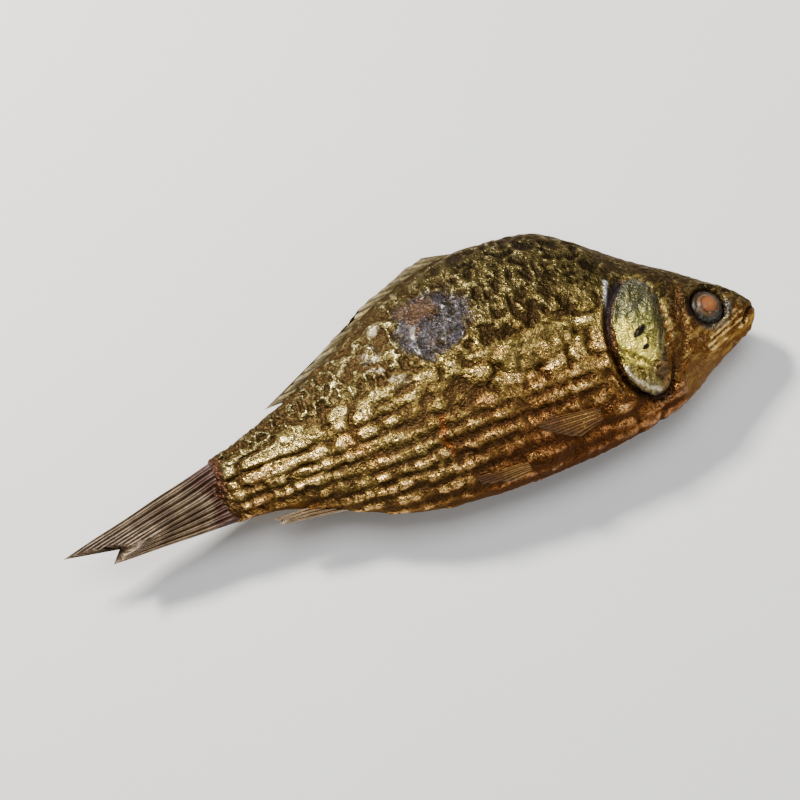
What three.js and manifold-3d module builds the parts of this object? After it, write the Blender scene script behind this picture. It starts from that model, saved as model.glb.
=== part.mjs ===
// A whole smoked crucian carp, lying on its left flank.
// Millimetres. +X runs towards the snout, +Y towards the back and +Z up, out of the right flank.
// The fish is drawn with its snout at x = 0, its lateral axis on y = 0 and its plane of symmetry
// on z = 0, and the finished group is moved so that it rests on z = 0, centred over the origin.
import * as THREE from "three";
import { mergeVertices } from "three/addons/utils/BufferGeometryUtils.js";
import Module from "manifold-3d";

// ---- Driving dimensions ----

// Head and trunk
const BODY_LENGTH = 145; // snout to the root of the tail fin
const BACK_HEIGHT = 39; // lateral axis to the crest of the back
const BELLY_DEPTH = 23.5; // lateral axis to the keel of the belly
const BODY_THICKNESS = 28; // flank to flank at the thickest section
const SNOUT_DEPTH = 8; // height of the blunt snout
const SNOUT_THICKNESS = 4;
const SNOUT_ROUNDING = 4.5; // length over which the snout rounds off
const TAIL_STEM_DEPTH = 16.5; // height of the stem at the tail fin's root
const TAIL_STEM_THICKNESS = 5;
const TAIL_STEM_ROUNDING = 3;
const PRESSED_FLAT = 0.7; // depth by which the lower flank is flattened where the fish lies
const SECTION_POWER = 1.2; // 1 gives an elliptic section, more gives a sharper back and belly

// Head
const HEAD_LENGTH = 38.9; // snout to the rear edge of the gill cover
const GILL_COVER_LENGTH = 14.4;
const GILL_COVER_HEIGHT = 29;
const GILL_COVER_THICKNESS = 1.3;
const GILL_COVER_RISE = 0.5; // centre of the gill cover above the lateral axis
const GILL_COVER_LEAN = THREE.MathUtils.degToRad(12); // its upper end leans forward by this
const GILL_COVER_STANDS = 0.5; // height of its outer face over the skin
const GILL_OPENING = 2; // width of the slit left open behind it
const EYE_RADIUS = 4.6;
const EYE_DEPTH = 2.6; // half the eye's thickness, across the head
const EYE_STANDS = 0.7; // height of the cornea over the skin
const CHEEK = 7.4; // skin between the eye and the gill cover
const EYE_RISE = 2.3; // centre of the eye above the lateral axis
const MOUTH_DEPTH = 5.5;
const MOUTH_GAPE = 0.8;
const MOUTH_DROP = 2.2; // corner line of the mouth below the lateral axis
const MOUTH_SLANT = THREE.MathUtils.degToRad(-24);

// Fins
const RAY_THICKNESS = 0.9;
const MEMBRANE_THICKNESS = 0.6;
const TIP_THINNING = 0.35; // share of its thickness that a fin loses towards the tips
const ROOT_DEPTH = 2.2; // how deep a fin's root sits in the flesh
const DORSAL_START = 0.39; // along the body, as a share of its length
const DORSAL_BASE = 60;
const DORSAL_RAYS = 17;
const DORSAL_FRONT_RAY = 19;
const DORSAL_REAR_RAY = 10;
const DORSAL_FRONT_STANDS = 3; // height of the folded ray tips over the back, front and rear
const DORSAL_REAR_STANDS = 2;
const ANAL_START = 0.745;
const ANAL_BASE = 11;
const ANAL_RAYS = 7;
const ANAL_FRONT_RAY = 26;
const ANAL_REAR_RAY = 14;
const ANAL_FRONT_STANDS = 3.6;
const ANAL_REAR_STANDS = 1.8;
const TAIL_RAYS = 18;
const TAIL_UPPER_LOBE = 40; // from the fin's root to the tip of each lobe and to the fork
const TAIL_LOWER_LOBE = 29;
const TAIL_FORK = 20;
const TAIL_FIN_ROOT = 16; // height of the fin where it leaves the stem
const TAIL_TIP_DROP = 3; // upper lobe's tip below the lateral axis
const TAIL_TIP_SPREAD = 5; // between the two tips of the folded fin
const PECTORAL_RAYS = 8;
const PECTORAL_LENGTH = 27;
const PECTORAL_ROOT = 4.5;
const PECTORAL_SPREAD = 8; // width across the folded tips
const PECTORAL_OVER_PELVIC = 1.9; // between the two fins on each flank
const PECTORAL_GAP = 2.1; // between the gill opening and the root
const PELVIC_RAYS = 6;
const PELVIC_LENGTH = 24;
const PELVIC_ROOT = 3;
const PELVIC_SPREAD = 3.4;
const PELVIC_START = 0.43;
const PELVIC_RISE = 1; // its lower edge above the keel of the belly

const CLEARANCE = 0.3; // between any two pieces

// How finely the surfaces are faceted
const BODY_FACETS = { around: 40, along: 44 };
const EYE_FACETS = { around: 20, along: 10 };
const COVER_FACETS = { around: 28, along: 10 };

// ---- Solids ----

const wasm = await Module();
wasm.setup();

function bare(geometry) {
  const copy = geometry.clone();
  copy.deleteAttribute("normal");
  copy.deleteAttribute("uv");
  return mergeVertices(copy, 1e-4);
}

function solidOf(geometry) {
  const merged = bare(geometry);
  const vertProperties = merged.attributes.position.array;
  const triVerts = new Uint32Array(merged.index.array);
  return new wasm.Manifold(new wasm.Mesh({ numProp: 3, vertProperties, triVerts }));
}

function geometryOf(solid) {
  const mesh = solid.getMesh();
  const geometry = new THREE.BufferGeometry();
  geometry.setAttribute("position", new THREE.BufferAttribute(mesh.vertProperties, 3));
  geometry.setIndex(new THREE.BufferAttribute(mesh.triVerts, 1));
  return geometry;
}

function turnedRound(geometry) {
  const index = geometry.index.array;
  for (let i = 0; i < index.length; i += 3) {
    [index[i + 1], index[i + 2]] = [index[i + 2], index[i + 1]];
  }
  return geometry;
}

// The same piece on the other side of the fish's plane of symmetry.
const mirrored = (geometry) => turnedRound(geometry.clone().scale(1, 1, -1));

// Moves every vertex of a closed geometry, and leaves its faces pointing outwards.
function reshaped(geometry, place) {
  const shaped = bare(geometry);
  const position = shaped.attributes.position;
  const point = new THREE.Vector3();
  for (let i = 0; i < position.count; i++) {
    point.fromBufferAttribute(position, i);
    position.setXYZ(i, ...place(point));
  }
  return solidOf(shaped).volume() < 0 ? turnedRound(shaped) : shaped;
}

// ---- The shape of the skin ----

// A smooth line through [share of the body's length, height] points.
function lineThrough(points) {
  const shares = points.map(([share]) => share);
  const heights = points.map(([, height]) => height);
  const line = new THREE.CubicInterpolant(shares, heights, 1);
  return (share) => line.evaluate(share)[0];
}

const backLine = lineThrough([
  [0, 0.4 * SNOUT_DEPTH],
  [0.05, 0.215 * BACK_HEIGHT],
  [0.11, 0.385 * BACK_HEIGHT],
  [0.18, 0.565 * BACK_HEIGHT],
  [0.25, 0.775 * BACK_HEIGHT],
  [0.31, 0.93 * BACK_HEIGHT],
  [0.4, BACK_HEIGHT],
  [0.52, 0.97 * BACK_HEIGHT],
  [0.63, 0.83 * BACK_HEIGHT],
  [0.745, 0.6 * BACK_HEIGHT],
  [0.86, 0.39 * BACK_HEIGHT],
  [0.93, 0.29 * BACK_HEIGHT],
  [1, 0.52 * TAIL_STEM_DEPTH],
]);

const bellyLine = lineThrough([
  [0, 0.6 * SNOUT_DEPTH],
  [0.04, 0.3 * BELLY_DEPTH],
  [0.1, 0.48 * BELLY_DEPTH],
  [0.15, 0.665 * BELLY_DEPTH],
  [0.2, 0.795 * BELLY_DEPTH],
  [0.3, 0.93 * BELLY_DEPTH],
  [0.45, BELLY_DEPTH],
  [0.58, 0.99 * BELLY_DEPTH],
  [0.7, 0.86 * BELLY_DEPTH],
  [0.8, 0.61 * BELLY_DEPTH],
  [0.88, 0.42 * BELLY_DEPTH],
  [1, 0.48 * TAIL_STEM_DEPTH],
]);

const thicknessLine = lineThrough([
  [0, SNOUT_THICKNESS],
  [0.06, 0.42 * BODY_THICKNESS],
  [0.13, 0.66 * BODY_THICKNESS],
  [0.21, 0.84 * BODY_THICKNESS],
  [0.3, 0.96 * BODY_THICKNESS],
  [0.4, BODY_THICKNESS],
  [0.55, 0.93 * BODY_THICKNESS],
  [0.7, 0.7 * BODY_THICKNESS],
  [0.83, 0.45 * BODY_THICKNESS],
  [1, TAIL_STEM_THICKNESS],
]);

// 1 away from an end of the body, and a quarter round falling to 0 at the end itself.
function rounding(distance, over) {
  return distance >= over ? 1 : Math.sqrt(Math.max(0, 1 - (1 - distance / over) ** 2));
}

function section(share) {
  const fromSnout = rounding(share * BODY_LENGTH, SNOUT_ROUNDING);
  const fromTail = rounding((1 - share) * BODY_LENGTH, TAIL_STEM_ROUNDING);
  const top = backLine(share) * fromSnout * fromTail;
  const bottom = -bellyLine(share) * fromSnout * fromTail;
  const thickness = thicknessLine(share) * fromSnout * fromTail;
  return { middle: (top + bottom) / 2, half: (top - bottom) / 2, reach: thickness / 2 };
}

// Height of the right flank's skin over a point of the plane of symmetry.
function flankHeight(x, y) {
  const { middle, half, reach } = section(THREE.MathUtils.clamp(-x / BODY_LENGTH, 0, 1));
  const rise = half > 0 ? (y - middle) / half : 1;
  return reach * Math.max(0, 1 - rise * rise) ** (SECTION_POWER / 2);
}

// A unit sphere with its poles at snout and tail, pulled out to the body's sections.
function skinGeometry() {
  const sphere = new THREE.SphereGeometry(1, BODY_FACETS.around, BODY_FACETS.along).rotateZ(-Math.PI / 2);
  return reshaped(sphere, ({ x, y, z }) => {
    const share = (1 - x) / 2;
    const { middle, half, reach } = section(share);
    const around = Math.hypot(y, z);
    const up = around > 1e-6 ? y / around : 0;
    const out = around > 1e-6 ? z / around : 0;
    const height = middle + half * up;
    return [-share * BODY_LENGTH, height, Math.sign(out) * reach * Math.abs(out) ** SECTION_POWER];
  });
}

// ---- Pieces of the head ----

const eyeX = -HEAD_LENGTH + GILL_COVER_LENGTH + CHEEK + EYE_RADIUS;

function eyeGeometry(grow = 0) {
  const height = flankHeight(eyeX, EYE_RISE) + EYE_STANDS - EYE_DEPTH;
  return new THREE.SphereGeometry(1, EYE_FACETS.around, EYE_FACETS.along)
    .rotateX(Math.PI / 2)
    .scale(EYE_RADIUS + grow, EYE_RADIUS + grow, EYE_DEPTH + grow)
    .translate(eyeX, EYE_RISE, height);
}

// A leaning oval plate that follows the flank. inner and outer are its faces' heights over the skin.
function drapedOval({ length, height, centreX, inner, outer }) {
  const disc = new THREE.SphereGeometry(1, COVER_FACETS.around, COVER_FACETS.along).rotateX(Math.PI / 2);
  return reshaped(disc, ({ x, y, z }) => {
    const across = (x * length) / 2;
    const along = (y * height) / 2;
    const atX = centreX + across * Math.cos(GILL_COVER_LEAN) + along * Math.sin(GILL_COVER_LEAN);
    const atY = GILL_COVER_RISE - across * Math.sin(GILL_COVER_LEAN) + along * Math.cos(GILL_COVER_LEAN);
    const face = Math.sign(z) * Math.abs(z) ** 0.4;
    return [atX, atY, flankHeight(atX, atY) + (inner + outer) / 2 + (face * (outer - inner)) / 2];
  });
}

const gillCoverCentre = -HEAD_LENGTH + GILL_COVER_LENGTH / 2;

const gillCoverGeometry = (grow = 0) =>
  drapedOval({
    length: GILL_COVER_LENGTH + 4 * grow,
    height: GILL_COVER_HEIGHT + 4 * grow,
    centreX: gillCoverCentre,
    inner: GILL_COVER_STANDS - GILL_COVER_THICKNESS - 2 * grow,
    outer: GILL_COVER_STANDS + 2 * grow,
  });

// The gill opening: the slit left between the rear edge of the cover and the flank.
const gillOpeningGeometry = () =>
  drapedOval({
    length: GILL_COVER_LENGTH,
    height: GILL_COVER_HEIGHT,
    centreX: gillCoverCentre - GILL_OPENING,
    inner: GILL_COVER_STANDS - GILL_COVER_THICKNESS - 2 * CLEARANCE,
    outer: GILL_COVER_STANDS + GILL_COVER_THICKNESS,
  });

function mouthGeometry() {
  const slit = new THREE.BoxGeometry(2 * MOUTH_DEPTH, MOUTH_GAPE, BODY_THICKNESS);
  return slit.rotateZ(MOUTH_SLANT).translate(0, -MOUTH_DROP, 0);
}

// ---- Fins ----

// A fan of rays joined by membrane. foot(u) and tip(u) are the ends of the ray at share u of the
// fin's width, and lay(x, y, v) is the height of its middle. grow thickens it and lengthens its root.
function finGeometry({ rays, steps, foot, tip, lay = () => 0, grow = 0 }) {
  const box = new THREE.BoxGeometry(1, 1, 1, 2 * rays, steps, 1);
  return reshaped(box, ({ x, y, z }) => {
    const u = x + 0.5;
    const v = y + 0.5;
    const start = foot(THREE.MathUtils.clamp(u, 0, 1));
    const end = tip(u);
    const back = start.clone().sub(end).setLength(v === 0 ? grow : 0);
    const at = start.lerp(end, v).add(back);
    const onRay = Math.round(2 * rays * u) % 2 === 0;
    const thickness = (onRay ? RAY_THICKNESS : MEMBRANE_THICKNESS) * (1 - TIP_THINNING * v);
    return [at.x, at.y, lay(at.x, at.y, v) + Math.sign(z) * (thickness / 2 + grow)];
  });
}

// Feet and tips of a fin folded back along the line of the back (side 1) or belly (side -1).
function foldedAlong(line, side, { start, base, rays, stands }) {
  const over = (share, height) => new THREE.Vector2(-share * BODY_LENGTH, side * (line(share) + height));
  const shareAt = (u) => start + (u * base) / BODY_LENGTH;
  const foot = (u) => over(shareAt(u), -ROOT_DEPTH);
  const tip = (u) => {
    const reach = THREE.MathUtils.lerp(...rays, u) / BODY_LENGTH;
    return over(shareAt(u) + reach, THREE.MathUtils.lerp(...stands, u));
  };
  return { foot, tip };
}

const dorsalFold = foldedAlong(backLine, 1, {
  start: DORSAL_START,
  base: DORSAL_BASE,
  rays: [DORSAL_FRONT_RAY, DORSAL_REAR_RAY],
  stands: [DORSAL_FRONT_STANDS, DORSAL_REAR_STANDS],
});
const dorsalGeometry = (grow) => finGeometry({ ...dorsalFold, rays: DORSAL_RAYS, steps: 2, grow });

const analFold = foldedAlong(bellyLine, -1, {
  start: ANAL_START,
  base: ANAL_BASE,
  rays: [ANAL_FRONT_RAY, ANAL_REAR_RAY],
  stands: [ANAL_FRONT_STANDS, ANAL_REAR_STANDS],
});
const analGeometry = (grow) => finGeometry({ ...analFold, rays: ANAL_RAYS, steps: 3, grow });

// The folded tail fin: u runs from its lowest ray to its highest, and the middle rays end at the fork.
function tailGeometry(grow) {
  const rootX = -BODY_LENGTH + ROOT_DEPTH;
  const foot = (u) => new THREE.Vector2(rootX, (u - 0.5) * TAIL_FIN_ROOT);
  const tip = (u) => {
    const lobe = u < 0.5 ? TAIL_LOWER_LOBE : TAIL_UPPER_LOBE;
    const reach = THREE.MathUtils.lerp(TAIL_FORK, lobe, Math.abs(2 * u - 1) ** 0.8);
    return new THREE.Vector2(-BODY_LENGTH - reach, -TAIL_TIP_DROP - (1 - u) * TAIL_TIP_SPREAD);
  };
  return finGeometry({ rays: TAIL_RAYS, steps: 3, foot, tip, grow });
}

// A paired fin lying back against the right flank, from a short root standing at (x, y).
function flankFinGeometry({ rays, x, y, length, root, spread }) {
  const lay = (atX, atY) => flankHeight(atX, atY) + CLEARANCE + RAY_THICKNESS / 2;
  const foot = (u) => new THREE.Vector2(x, y + (0.5 - u) * root);
  const tip = (u) => new THREE.Vector2(x - length * (1 - 0.25 * u), y + (0.5 - u) * spread);
  return finGeometry({ rays, steps: 6, foot, tip, lay });
}

// Both paired fins are placed up from the keel, so that neither covers the other.
const pelvicY = -BELLY_DEPTH + PELVIC_RISE + PELVIC_SPREAD / 2;
const pectoralY = pelvicY + (PELVIC_SPREAD + PECTORAL_SPREAD) / 2 + PECTORAL_OVER_PELVIC;

const pectoralGeometry = () =>
  flankFinGeometry({
    rays: PECTORAL_RAYS,
    x: -HEAD_LENGTH - GILL_OPENING - PECTORAL_GAP,
    y: pectoralY,
    length: PECTORAL_LENGTH,
    root: PECTORAL_ROOT,
    spread: PECTORAL_SPREAD,
  });

const pelvicGeometry = () =>
  flankFinGeometry({
    rays: PELVIC_RAYS,
    x: -PELVIC_START * BODY_LENGTH,
    y: pelvicY,
    length: PELVIC_LENGTH,
    root: PELVIC_ROOT,
    spread: PELVIC_SPREAD,
  });

// ---- Head and trunk, with the hollows for what is set into them ----

function bodyGeometry() {
  const underDepth = BODY_THICKNESS;
  const under = new THREE.BoxGeometry(2 * BODY_LENGTH, 4 * BACK_HEIGHT, underDepth);
  under.translate(-BODY_LENGTH / 2, 0, PRESSED_FLAT - BODY_THICKNESS / 2 - underDepth / 2);
  const hollows = [
    under,
    mouthGeometry(),
    eyeGeometry(CLEARANCE),
    mirrored(eyeGeometry(CLEARANCE)),
    gillCoverGeometry(CLEARANCE),
    mirrored(gillCoverGeometry(CLEARANCE)),
    gillOpeningGeometry(),
    mirrored(gillOpeningGeometry()),
    dorsalGeometry(CLEARANCE),
    analGeometry(CLEARANCE),
    tailGeometry(CLEARANCE),
  ];
  const cut = hollows.reduce((solid, hollow) => solid.subtract(solidOf(hollow)), solidOf(skinGeometry()));
  return geometryOf(cut);
}

// ---- Materials and assembly ----

const finish = (color, roughness, metalness) =>
  new THREE.MeshStandardMaterial({ color, roughness, metalness });
const smokedSkin = finish(0x6b4a1e, 0.42, 0.35);
const gildedBone = finish(0x9a8238, 0.3, 0.5);
const driedFin = finish(0x4c3722, 0.6, 0.1);
const cookedEye = finish(0x8a4a24, 0.25, 0);

const fish = new THREE.Group();

function addPiece(name, geometry, material) {
  const piece = new THREE.Mesh(geometry, material);
  piece.name = name;
  fish.add(piece);
}

function addPair(name, geometry, material) {
  addPiece(`right_${name}`, geometry, material);
  addPiece(`left_${name}`, mirrored(geometry), material);
}

addPiece("body", bodyGeometry(), smokedSkin);
addPiece("dorsal_fin", dorsalGeometry(0), driedFin);
addPiece("anal_fin", analGeometry(0), driedFin);
addPiece("tail_fin", tailGeometry(0), driedFin);
addPair("gill_cover", gillCoverGeometry(), gildedBone);
addPair("eye", bare(eyeGeometry()), cookedEye);
addPair("pectoral_fin", pectoralGeometry(), driedFin);
addPair("pelvic_fin", pelvicGeometry(), driedFin);

const bounds = new THREE.Box3().setFromObject(fish);
const centre = bounds.getCenter(new THREE.Vector3());
fish.position.set(-centre.x, -centre.y, -bounds.min.z);

export default fish;
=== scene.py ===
# %% [markdown]
# # A whole smoked crucian carp
# A small, deep-bodied carp, smoked whole until its skin turned to old gold. It lies on its left
# flank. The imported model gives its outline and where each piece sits, and this lesson builds the
# skin, bones, eyes and fins that are seen.

import bpy
import numpy as np
from mathutils import Matrix, Vector


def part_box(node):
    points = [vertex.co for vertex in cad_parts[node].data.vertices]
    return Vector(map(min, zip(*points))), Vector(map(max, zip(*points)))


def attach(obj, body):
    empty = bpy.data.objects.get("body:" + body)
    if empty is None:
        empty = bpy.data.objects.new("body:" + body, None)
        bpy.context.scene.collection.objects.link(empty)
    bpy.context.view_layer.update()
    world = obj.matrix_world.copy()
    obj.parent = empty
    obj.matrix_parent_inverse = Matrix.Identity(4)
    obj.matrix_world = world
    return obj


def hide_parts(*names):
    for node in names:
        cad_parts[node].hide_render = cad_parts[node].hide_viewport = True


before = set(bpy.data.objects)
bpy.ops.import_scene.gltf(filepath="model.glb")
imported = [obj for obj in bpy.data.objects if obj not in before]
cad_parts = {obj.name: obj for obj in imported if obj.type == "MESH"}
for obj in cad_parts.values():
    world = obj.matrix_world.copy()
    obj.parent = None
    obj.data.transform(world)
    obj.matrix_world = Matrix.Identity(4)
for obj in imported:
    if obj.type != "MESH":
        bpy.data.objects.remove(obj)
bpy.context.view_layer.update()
print("frame nodes:", ", ".join(sorted(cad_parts)))

# %% [markdown]
# ## Fish measures
# It is easier to think of a fish in millimetres, counted back from the tip of its snout and up
# from its lateral axis. The frame's body box gives the overall measures, and `to_row` carries
# finished points to the row's frame, in metres. On the way it presses the underside flat, as the
# fish's own weight does on the surface it lies on.

# %% Fish measures
BACK_SHARE = 39 / 62.5  # of the depth, above the lateral axis
PRESSED_SHARE = 27.3 / 28  # of the thickness, left by lying on one flank
SETTLE, SINK = 0.6, 0.12  # how softly, and how far, the underside meets the surface

low, high = (np.array(corner) * 1000 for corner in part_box("body"))
LENGTH, DEPTH = (high - low)[:2]
BACK = DEPTH * BACK_SHARE
BELLY = DEPTH - BACK
THICK = (high - low)[2] / PRESSED_SHARE
SNOUT = np.array([high[0], low[1] + BELLY, high[2] - THICK / 2])


def to_row(points):
    place = points + SNOUT
    place[..., 2] = (place[..., 2] + np.sqrt(place[..., 2] ** 2 + SETTLE)) / 2 - SINK
    return place / 1000


print(f"body {LENGTH:.1f} long, back {BACK:.1f}, belly {BELLY:.1f}, thick {THICK:.1f} mm")

# %% [markdown]
# ## Drawing tools
# Three small tools serve every piece. `smooth_line` draws a smooth curve through a few points, as
# a draughtsman's spline does. `step` is a soft switch between 0 and 1, and `rumple` gives soft
# random bumps of a chosen size, which no living thing is without.


# %% Drawing tools
def smooth_line(points):
    at, height = (np.array(row, float) for row in zip(*points))
    slope = np.gradient(height, at)

    def line(x):
        i = np.clip(np.searchsorted(at, x) - 1, 0, len(at) - 2)
        gap = at[i + 1] - at[i]
        t = np.clip((x - at[i]) / gap, 0, 1)
        rise = height[i] * (2 * t**3 - 3 * t**2 + 1) + height[i + 1] * (3 * t**2 - 2 * t**3)
        return rise + gap * (slope[i] * (t**3 - 2 * t**2 + t) + slope[i + 1] * (t**3 - t**2))

    return line


def step(start, end, x):
    t = np.clip((x - start) / (end - start), 0, 1)
    return t * t * (3 - 2 * t)


def rumple(points, size, seed):
    cell = np.random.default_rng(seed).uniform(-1, 1, (32, 32, 32))
    place = np.asarray(points, float) / size + 500
    corner = np.floor(place).astype(int)
    t = place - corner
    t = t * t * (3 - 2 * t)
    total = 0
    for k in range(8):
        offset = np.array([k & 1, k >> 1 & 1, k >> 2])
        weight = np.prod(np.where(offset, t, 1 - t), axis=-1)
        total = total + weight * cell[tuple(np.moveaxis((corner + offset) % 32, -1, 0))]
    return total


print(f"step half way: {step(0, 1, 0.5):.2f}, rumple at the snout: {rumple((0, 0, 0), 5, 1):.2f}")


# %% [markdown]
# ## One way to make a skin
# Every piece of this fish can be seen as a stack of rings: the trunk is rings around its backbone,
# an eye is rings around its pupil. `skin` joins a stack of rings into a closed mesh, stores what
# the finishes need to know at each point, and lays a map over it for baking.


# %% One way to make a skin
def skin(name, rings, marks, side_sign=1):
    rings = rings[:, ::side_sign]
    count, around = rings.shape[:2]
    points = np.concatenate([rings.reshape(-1, 3), rings[[0, -1]].mean(axis=1)])
    i, k = np.meshgrid(np.arange(count - 1), np.arange(around), indexing="ij")
    here, after = i * around + k, i * around + (k + 1) % around
    quads = np.stack([here, after, after + around, here + around], -1).reshape(-1, 4)
    ends = np.arange(around)
    last = (count - 1) * around
    front = np.stack([(ends + 1) % around, ends, np.full(around, count * around)], -1)
    rear = np.stack([last + ends, last + (ends + 1) % around, np.full(around, count * around + 1)], -1)
    mesh = bpy.data.meshes.new(name)
    mesh.from_pydata(to_row(points).tolist(), [], quads.tolist() + front.tolist() + rear.tolist())

    u, v = k / around, 0.01 + 0.98 * i / (count - 1)
    du, dv = 1 / around, 0.98 / (count - 1)
    corners = np.stack([u, v, u + du, v, u + du, v + dv, u, v + dv], -1).reshape(-1)
    u = ends / around
    flat = np.zeros(around)
    low_cap = np.stack([u + du, flat + 0.01, u, flat + 0.01, u + du / 2, flat], -1).reshape(-1)
    high_cap = np.stack([u, flat + 0.99, u + du, flat + 0.99, u + du / 2, flat + 1], -1).reshape(-1)
    mesh.uv_layers.new(name="OFBake").data.foreach_set("uv", np.concatenate([corners, low_cap, high_cap]))

    for mark, values in marks.items():
        values = np.broadcast_to(values, (count, around))[:, ::side_sign]
        at_caps = values[[0, -1]].mean(axis=1)
        data = np.concatenate([values.reshape(-1), at_caps]).astype(np.float32)
        mesh.attributes.new(mark, "FLOAT", "POINT").data.foreach_set("value", data)
    mesh.shade_smooth()
    mesh.update()
    piece = bpy.data.objects.new(name, mesh)
    bpy.context.scene.collection.objects.link(piece)
    return piece


def settle(piece, node, material):
    piece.data.materials.append(material)
    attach(piece, "root")
    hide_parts(node)
    print(f"{piece.name}: {len(piece.data.polygons)} faces, stands for {node}")


# %% [markdown]
# ## The lines of the fish
# A boat builder draws a hull from a few lines, and so is this fish: the line of the back, of the
# belly, and the half-width seen from above. Each cross-section is a lens, a little sharper at back
# and belly than an ellipse is.

# %% The lines of the fish
back_line = smooth_line(
    [(0, 3.2), (0.05, 0.215 * BACK), (0.11, 0.385 * BACK), (0.18, 0.565 * BACK), (0.25, 0.775 * BACK)]
    + [(0.31, 0.93 * BACK), (0.4, BACK), (0.52, 0.97 * BACK), (0.63, 0.83 * BACK), (0.745, 0.6 * BACK)]
    + [(0.86, 0.39 * BACK), (0.93, 0.29 * BACK), (1, 8.6)]
)
belly_line = smooth_line(
    [(0, 4.8), (0.04, 0.3 * BELLY), (0.1, 0.48 * BELLY), (0.15, 0.665 * BELLY), (0.2, 0.795 * BELLY)]
    + [(0.3, 0.93 * BELLY), (0.45, BELLY), (0.58, 0.99 * BELLY), (0.7, 0.86 * BELLY), (0.8, 0.61 * BELLY)]
    + [(0.88, 0.42 * BELLY), (1, 7.9)]
)
thick_line = smooth_line(
    [(0, 4), (0.06, 0.42 * THICK), (0.13, 0.66 * THICK), (0.21, 0.84 * THICK), (0.3, 0.96 * THICK)]
    + [(0.4, THICK), (0.55, 0.93 * THICK), (0.7, 0.7 * THICK), (0.83, 0.45 * THICK), (1, 5)]
)


def section(share):
    nose = np.sqrt(1 - np.clip(1 - share * LENGTH / 4.5, 0, 1) ** 2)
    to_tail = (1 - share) * LENGTH
    stem = np.sqrt(1 - np.clip(1 - to_tail / 2, 0, 1) ** 2)
    pinch = np.sqrt(1 - np.clip(1 - to_tail / 10, 0, 0.93) ** 2)
    top, bottom = back_line(share) * nose * stem, -belly_line(share) * nose * stem
    return (top + bottom) / 2, (top - bottom) / 2, thick_line(share) * nose * pinch / 2


def flank(x, y):
    middle, half, reach = section(np.clip(-x / LENGTH, 0.001, 0.999))
    rise = np.clip((y - middle) / half, -1, 1)
    return reach * (1 - rise**2) ** 0.6


print(f"skin stands {flank(np.array(-58.0), np.array(0.0)):.1f} mm from the middle at the shoulder")

# %% [markdown]
# ## Head landmarks
# The gill cover is a leaning oval. `gill_oval` says how far out a point lies from the oval's
# centre, 1 being its rim, so the plate, the slit behind it and the shoulder all follow one line.
# `outline` lets the oval bulge at its lower front corner, as the real plate does.
# `along_line` marks a ridge or groove that follows a few points on the head.

# %% Head landmarks
EYE = np.array([-12.5, 2.3])
EYE_RADIUS = 4.6
COVER_CENTRE = np.array([-31.7, 0.5])
COVER_HALF = np.array([7.2, 14.5])
LEAN = np.radians(-12)


def outline(angle):
    low_front = 0.17 * np.exp(-(((angle + 0.95) / 0.5) ** 2))
    low_rear = 0.05 * np.exp(-(((angle + 2.3) / 0.5) ** 2))
    return 1 + low_front + low_rear - 0.05 * np.exp(-(((angle - 2.2) / 0.5) ** 2))


def gill_oval(x, y, back=0.0):
    dx, dy = x - COVER_CENTRE[0] + back, y - COVER_CENTRE[1]
    across = dx * np.cos(LEAN) + dy * np.sin(LEAN)
    along = dy * np.cos(LEAN) - dx * np.sin(LEAN)
    across, along = across / COVER_HALF[0], along / COVER_HALF[1]
    return np.hypot(across, along) / outline(np.arctan2(along, across))


def along_line(x, y, points, width):
    nearest = np.full(np.shape(x), 1e9)
    for (ax, ay), (bx, by) in zip(points, points[1:]):
        dx, dy = bx - ax, by - ay
        t = np.clip(((x - ax) * dx + (y - ay) * dy) / (dx * dx + dy * dy), 0, 1)
        nearest = np.minimum(nearest, np.hypot(x - ax - t * dx, y - ay - t * dy))
    return np.exp(-((nearest / width) ** 2))


def spot(x, y, centre, half, turn=0.0):
    dx, dy = x - centre[0], y - centre[1]
    p = dx * np.cos(turn) + dy * np.sin(turn)
    q = dy * np.cos(turn) - dx * np.sin(turn)
    return np.exp(-(((p / half[0]) ** 2 + (q / half[1]) ** 2) ** 1.5))


print(f"eye {2 * EYE_RADIUS:.1f} mm wide, gill cover {2 * COVER_HALF[0]:.1f} by {2 * COVER_HALF[1]:.1f} mm")

# %% [markdown]
# ## The rings of the trunk
# Four hundred rings run from snout to tail, closer together at the head and the tail stem, where
# the detail is finest. Each point also learns its place in the coat of scales: how many scales
# back from the snout, and how many rows above the lateral line, measured over the curve of the
# flank.

# %% The rings of the trunk
STATIONS, AROUND = 400, 248
turn = np.linspace(0, 1, STATIONS + 2)[1:-1]
share = (turn - 0.3 * np.sin(2 * np.pi * turn) / (2 * np.pi))[:, None]
angle = 2 * np.pi * (np.arange(AROUND) + 0.5) / AROUND
middle, half, reach = section(share)
up, out = -np.cos(angle), np.sin(angle)
body = np.stack(
    [
        -share * LENGTH + 0 * up,
        middle + half * up,
        np.sign(out) * reach * np.abs(out) ** 1.2,
    ],
    -1,
)
x, y, right = body[..., 0], body[..., 1], np.sign(body[..., 2])

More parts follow.
